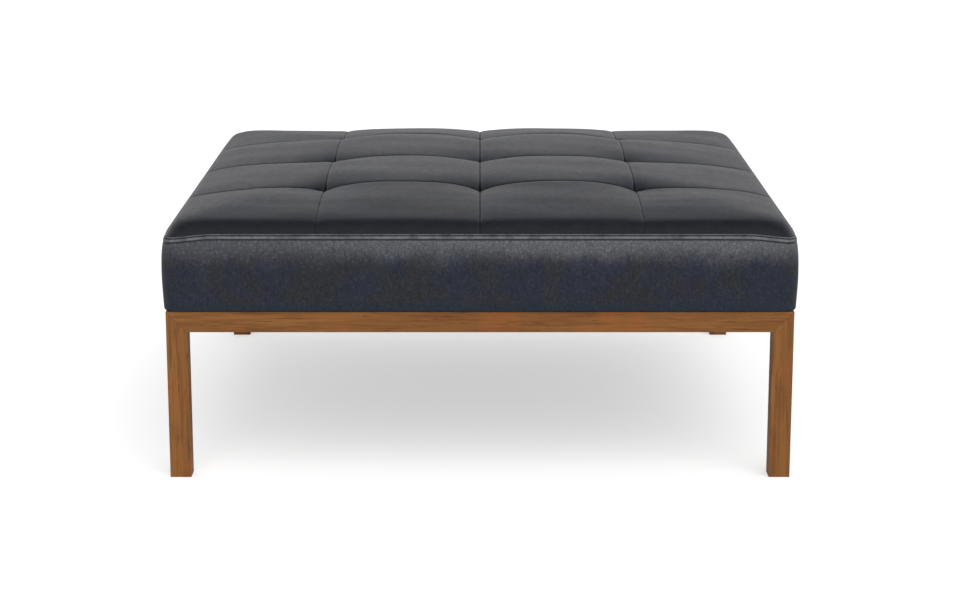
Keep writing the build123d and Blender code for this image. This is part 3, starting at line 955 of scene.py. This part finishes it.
# Points of the boxing's section as (out, height) pairs: down its bellied outside, in under
# the box frame as the flange, and up its inside
BOXING_PROFILE = (
    (-2.2, 372.4), (-0.8, 371.8), (0.2, 370.4), (0.9, 367.5), (1.5, 363.5), (2.1, 359.0),
    (2.7, 352.0), (3.1, 343.0), (3.45, 333.0), (3.6, 322.0), (3.65, 311.0), (3.4, 300.0),
    (2.95, 289.0), (2.4, 279.0), (1.95, 271.0), (1.6, 266.0), (1.1, 263.4), (0.0, 261.8),
    (-2.0, 261.2), (-6.0, 261.1), (-12.0, 261.05), (-22.0, 261.05), (-22.0, 262.3),
    (-8.0, 262.3), (-4.5, 264.5), (-3.6, 268.0), (-3.0, 300.0), (-3.0, 340.0), (-3.6, 371.0),
)
BOXING_WAVE = 0.55
BOXING_WAVE_SIZE = 150.0
BOXING_PUCKER = 0.3
BOXING_PUCKER_SIZE = 17.0
PUCKER_DROP = 4.0
PUCKER_REACH = 7.0
WAVE_EASING = 2200.0

# The welt's section: a groove, the ridge, a second groove and the lip of the top's leather.
# The rows of faces that lie in grooves or out of sight carry painted shade, and the ridge and
# the lip carry a painted highlight.
WELT_PROFILE = (
    (-2.0, 371.4), (-1.2, 372.0), (-1.0, 372.7), (-0.7, 373.2), (-0.1, 373.8), (0.2, 374.5),
    (0.1, 375.3), (-0.4, 376.1), (-1.3, 376.7), (-2.1, 377.2), (-2.6, 377.9), (-2.9, 378.6),
    (-2.7, 379.0), (-2.9, 379.4), (-3.4, 379.8), (-4.6, 380.0), (-7.5, 379.5), (-7.5, 371.4),
)
WELT_PAINTED_SHADE_ROWS = (0, 1, 2, 9, 10, 11, 15, 16, 17)
WELT_WAVE = 0.16
WELT_WAVE_SIZE = 11.0

# Stitch rows as (height, out), where a stitch starts and ends between two places, and its
# rings as (share of its length, out, half width)
STITCH_ROWS = ((WELT_Z + 2.8, -2.4), (WELT_Z - 2.4, -0.9))
STITCH_ENDS = (0.12, 0.84)
STITCH_RINGS = ((0.0, -0.35, 0.2), (0.3, 0.3, 0.34), (0.7, 0.3, 0.34), (1.0, -0.35, 0.2))
DIAMOND = ((1, 0), (0, 1), (-1, 0), (0, -1))


def outline(step):
    """Points of the rounded outline with their outward directions and run."""
    straight = SEAM_HALF - COVER_CORNER
    stops = int(2 * straight / step)
    found = []
    for quarter in range(4):
        turn = quarter * QUARTER
        c, s = math.cos(turn), math.sin(turn)
        for i in range(stops):
            u = -straight + 2 * straight * i / stops
            found.append((c * u + s * SEAM_HALF, s * u - c * SEAM_HALF, s, -c))
        for i in range(CORNER_STEPS):
            angle = turn - QUARTER + QUARTER * i / CORNER_STEPS
            ox, oy = math.cos(angle), math.sin(angle)
            cx = c * straight + s * straight
            cy = s * straight - c * straight
            found.append((cx + COVER_CORNER * ox, cy + COVER_CORNER * oy, ox, oy))
    found = np.array(found)
    gaps = np.hypot(*(np.roll(found[:, :2], -1, axis=0) - found[:, :2]).T)
    run = np.concatenate(([0.0], np.cumsum(gaps)[:-1]))
    return found[:, :2], found[:, 2:], run


def ring_faces(rows, count):
    faces = []
    for i in range(rows):
        for j in range(count):
            a, b = i * count, ((i + 1) % rows) * count
            k = (j + 1) % count
            faces.append((a + j, a + k, b + k, b + j))
    return faces


def ring_piece(name, profile, material, wave, step):
    """A closed ring: a profile of (out, height) pairs carried round the outline."""
    place, outward, run = outline(step)
    sag = droop(place[:, 0], place[:, 1])
    points = []
    for out, height in profile:
        shift = out + wave(height, run, place)
        share = (height - FOOT_Z) / (SEAM_Z - FOOT_Z)
        ring = place + outward * shift[:, None]
        level = height - sag * min(max(share, 0.0), 1.0)
        points += [(p[0] * MM, p[1] * MM, h * MM) for p, h in zip(ring, level)]
    return piece(name, points, ring_faces(len(profile), len(run)), material)


def boxing_wave(height, run, place):
    """Soft unevenness of the side walls, with small puckers under the welt."""
    level = np.full(run.shape, height)
    height_scale = 1.3
    soft = soft_noise(place[:, 0], place[:, 1], level * height_scale, 9, BOXING_WAVE_SIZE)
    middle = np.clip((height - FOOT_Z) * (SEAM_Z - height) / WAVE_EASING, 0.0, 1.0)
    near_welt = math.exp(-abs(SEAM_Z - PUCKER_DROP - height) / PUCKER_REACH)
    fine = BOXING_PUCKER * puckers(run, seed=13, size=BOXING_PUCKER_SIZE) * near_welt
    return BOXING_WAVE * soft * middle + fine


def welt_wave(height, run, place):
    return WELT_WAVE * puckers(run, seed=17, size=WELT_WAVE_SIZE)


def make_boxing():
    """The side leather as one ring, smoothed by one subdivision."""
    made = ring_piece("boxing_cover", BOXING_PROFILE, WALL_LEATHER, boxing_wave, BOXING_STEP)
    smoothing = made.modifiers.new("subdivision", "SUBSURF")
    smoothing.levels = 1
    smoothing.render_levels = 1
    sides = [f"boxing_{side}" for side in ("front", "back", "left", "right")]
    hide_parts(*sides, "side_batting")


def make_welt():
    """The raised welt with a groove each side and the top's turned lip above it."""
    made = ring_piece("welt_piping", WELT_PROFILE, WELT_PAINTED_HIGHLIGHT, welt_wave, WELT_STEP)
    # The dark copy puts painted shade on the rows in the grooves and out of sight
    made.data.materials.append(WELT_PAINTED_SHADE)
    count = len(made.data.polygons) // len(WELT_PROFILE)
    for polygon in made.data.polygons:
        if polygon.index // count in WELT_PAINTED_SHADE_ROWS:
            polygon.material_index = 1
    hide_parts("welt")


def make_stitches():
    """Two rows of short dark stitches, above and below the welt."""
    place, outward, _ = outline(STITCH_PITCH)
    onward = np.roll(place, -1, axis=0)
    points, faces = [], []
    for height, out in STITCH_ROWS:
        for here, following, away in zip(place, onward, outward):
            faces += strand_faces(len(points), len(STITCH_RINGS), len(DIAMOND))
            start, end = (here + (following - here) * share for share in STITCH_ENDS)
            for share, swell, size in STITCH_RINGS:
                spot = start + (end - start) * share + away * (out + swell)
                level = height - droop(spot[0], spot[1])
                for dx, dz in DIAMOND:
                    x, y = spot + away * dx * size
                    points.append((x * MM, y * MM, (level + dz * size) * MM))
    made = piece("welt_stitches", points, faces, DARK_THREAD)


# Cloth, felts and twines under and in the cushion, in millimetres

DUST_HALF = 454.7
DUST_LINES = 47
DUST_TOP = 262.35
DUST_THICKNESS = 0.5
DUST_SAG = 2.6
DUST_WAVE = 0.5
DUST_WAVE_SIZE = 130.0

FOOT_FELT_SIDE = 20.0
FOOT_FELT = (0.0, 3.0)
FOOT_FELT_EDGE = 0.4
ANCHOR_SIDE = 24.0
ANCHOR_FELT = (309.4, 312.4)
ANCHOR_EDGE = 0.6

TWINE_SPAN = (305.4, 397.5)
TWINE_RINGS = 46
TWINE_SIDES = 6
TWINE_TURNS = 7
PLY_RADIUS = 0.60
PLY_OFFSET = 0.58
KNOT_SWELL = 1.3
KNOT_SHARE = 0.03


def make_dust_cover():
    """The cloth under the box frame: a thin sheet that sags a little between its edges."""
    half = DUST_HALF
    places = np.linspace(-half, half, DUST_LINES)
    x, y = np.meshgrid(places, places)
    tight = np.cos(x / half * QUARTER) * np.cos(y / half * QUARTER)
    waves = soft_noise(x, y, x * 0.0, seed=23, size=DUST_WAVE_SIZE) * np.sqrt(np.abs(tight))
    sag = DUST_SAG * tight**0.7 + DUST_WAVE * waves
    points = []
    for level in (DUST_TOP, DUST_TOP - DUST_THICKNESS):
        z = level - np.maximum(sag, 0.0)
        points += (np.stack((x, y, z), axis=-1) * MM).reshape(-1, 3).tolist()
    total = DUST_LINES * DUST_LINES
    faces = grid_faces(DUST_LINES)
    faces += [(total + a, total + d, total + c, total + b) for a, b, c, d in faces]
    rim = grid_rim(DUST_LINES)
    for i in range(len(rim)):
        a, b = rim[i], rim[(i + 1) % len(rim)]
        faces.append((b, a, total + a, total + b))
    made = piece("dust_cover_cloth", points, faces, DUST_CLOTH)
    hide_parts("dust_cover")


def felt_blocks(name, node, places, side, span, edge):
    """Square felts with softened edges at places in metres, as one piece."""
    low, high = span
    bm = bmesh.new()
    for x, y in places:
        verts = bmesh.ops.create_cube(bm, size=1.0)["verts"]
        bmesh.ops.scale(bm, vec=(side * MM, side * MM, (high - low) * MM), verts=verts)
        bmesh.ops.translate(bm, vec=(x, y, (low + high) / 2 * MM), verts=verts)
        edges = list({e for v in verts for e in v.link_edges})
        bmesh.ops.bevel(
            bm,
            geom=edges,
            offset=edge * MM,
            segments=3,
            affect="EDGES",
            profile=0.6,
            clamp_overlap=True,
        )
    made = from_bmesh(name, bm, FELT, True)
    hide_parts(node)


def tuft_places():
    steps = (-1, 0, 1)
    return [(TUFT_PITCH * MM * i, TUFT_PITCH * MM * j) for j in steps for i in steps]


def make_felts():
    foot = HALF - STOCK / 2
    feet = [(sx * foot, sy * foot) for sx in (-1, 1) for sy in (-1, 1)]
    felt_blocks("foot_felts", "foot_pads", feet, FOOT_FELT_SIDE, FOOT_FELT, FOOT_FELT_EDGE)
    tufts = tuft_places()
    felt_blocks("anchor_felts", "tuft_anchors", tufts, ANCHOR_SIDE, ANCHOR_FELT, ANCHOR_EDGE)


def make_twines():
    """Two-ply twines from a knot under each felt up to the leather."""
    low, high = TWINE_SPAN
    points, faces = [], []
    for x, y in tuft_places():
        for ply in (0, math.pi):
            faces += strand_faces(len(points), TWINE_RINGS, TWINE_SIDES)
            for i in range(TWINE_RINGS):
                share = i / (TWINE_RINGS - 1)
                turn = ply + share * TWINE_TURNS * 2 * math.pi
                swell = 1.0 + KNOT_SWELL * math.exp(-((share / KNOT_SHARE) ** 2))
                cx = x + PLY_OFFSET * MM * swell * math.cos(turn)
                cy = y + PLY_OFFSET * MM * swell * math.sin(turn)
                radius = PLY_RADIUS * MM * swell
                for k in range(TWINE_SIDES):
                    angle = k * 2 * math.pi / TWINE_SIDES
                    points.append((
                        cx + radius * math.cos(angle),
                        cy + radius * math.sin(angle),
                        (low + (high - low) * share) * MM,
                    ))
    made = piece("tuft_ties", points, faces, TWINE)
    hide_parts("tuft_twines")


# Materials of the CAD pieces that stay


def dress_nodes():
    corners = ("back_left", "back_right", "front_left", "front_right")
    base_blocks = [f"base_block_{corner}" for corner in corners]
    top_blocks = [f"top_block_{corner}" for corner in corners]
    side_frames = ("frame_left", "frame_right", "cross_rail_left", "cross_rail_right")
    for material, names in (
        (BLOCK_WOOD, base_blocks),
        (FRAME_WOOD_X, ("frame_front", "frame_back", *top_blocks)),
        (FRAME_WOOD_Y, side_frames),
        (TENON_WOOD, ("corner_tenons", "frame_tenons")),
        (PLYWOOD, ("deck_board",)),
        (ZINC, ("nut_plates", "washers", "cushion_bolts")),
    ):
        for name in names:
            for place in NODES[name].material_slots:
                place.material = material


# Studio

# The floor bounces pale light. To the camera it is greyer and glows, so that it is white
# where it is fully lit and keeps a pale shadow.
FLOOR_HALF = 16.0
FLOOR_BOUNCE = (0.80, 0.80, 0.81)
FLOOR_SEEN = (0.645, 0.645, 0.645)
FLOOR_GLOW = 0.53
WHITE = (1.0, 1.0, 1.0)

# Level of the sky's light on things. Reflections see it white low down and dim above.
SKY_LEVEL = 0.5
MIRROR_FADE = (0.33, 0.74)
MIRROR_OVERHEAD = 0.06

# Suns as (name, azimuth, elevation, level, spread). Azimuth 0 shines from the camera's side
# and 90 from the right.
SUNS = (
    ("key_sun", 18, 49, 0.42, 60),
    ("front_sun", 4, 30, 0.11, 50),
    ("side_sun", 55, 40, 0.08, 80),
    ("back_sun", 175, 60, 0.09, 80),
)


def make_floor():
    side = FLOOR_HALF
    corners = [(-side, -side, 0), (side, -side, 0), (side, side, 0), (-side, side, 0)]
    mesh = bpy.data.meshes.new("studio_floor")
    mesh.from_pydata(corners, [], [(0, 1, 2, 3)])
    floor = bpy.data.objects.new("studio_floor", mesh)
    bpy.context.scene.collection.objects.link(floor)
    r = Recipe("studio_floor")
    pale = r.node("ShaderNodeBsdfDiffuse", {"Color": FLOOR_BOUNCE})
    seen = r.node("ShaderNodeBsdfDiffuse", {"Color": FLOOR_SEEN})
    glow = r.node("ShaderNodeEmission", {"Color": WHITE, "Strength": FLOOR_GLOW})
    lit = r.node("ShaderNodeAddShader", {0: seen, 1: glow})
    r.close(r.node("ShaderNodeMixShader", {0: r.on_ray("Is Camera Ray"), 1: pale, 2: lit}))
    mesh.materials.append(r.material)


def make_world():
    """White to the camera, and a plain sky of one level for light."""
    world = bpy.data.worlds.new("studio")
    bpy.context.scene.world = world
    world.use_nodes = True
    sky = Nodes(world.node_tree, "Generated")
    _, _, height = sky.split()
    mirrored = sky.ranged(height, *MIRROR_FADE, 1.0, MIRROR_OVERHEAD)
    glossy, clear = sky.on_ray("Is Glossy Ray"), sky.on_ray("Is Transmission Ray")
    level = sky.blended(sky.calc("MAXIMUM", glossy, clear), SKY_LEVEL, mirrored)
    level = sky.blended(sky.on_ray("Is Camera Ray"), level, 1.0)
    shader = sky.node("ShaderNodeBackground", {"Color": WHITE, "Strength": level})
    sky.close(shader, "ShaderNodeOutputWorld")


def sun(name, azimuth, elevation, level, spread):
    """A broad soft sun that shows in no mirror."""
    data = bpy.data.lights.new(name, "SUN")
    data.energy = level * math.pi
    data.angle = math.radians(spread)
    lamp = bpy.data.objects.new(name, data)
    a, e = math.radians(azimuth), math.radians(elevation)
    source = Vector((math.sin(a) * math.cos(e), -math.cos(a) * math.cos(e), math.sin(e)))
    lamp.rotation_mode = "QUATERNION"
    lamp.rotation_quaternion = source.to_track_quat("Z", "Y")
    lamp.visible_glossy = False
    bpy.context.scene.collection.objects.link(lamp)


def make_camera():
    data = bpy.data.cameras.new("camera")
    data.lens = CAMERA_LENS
    data.sensor_width = SENSOR
    data.sensor_fit = "HORIZONTAL"
    data.clip_end = CLIP_END
    camera = bpy.data.objects.new("camera", data)
    camera.location = CAMERA_PLACE
    camera.rotation_euler = (math.radians(CAMERA_PITCH), 0.0, 0.0)
    bpy.context.scene.collection.objects.link(camera)
    bpy.context.scene.camera = camera


make_camera()
make_base()
make_top()
make_boxing()
make_welt()
make_stitches()
make_dust_cover()
make_felts()
make_twines()
dress_nodes()
make_floor()
make_world()
for values in SUNS:
    sun(*values)
bpy.context.scene.view_settings.view_transform = "Standard"
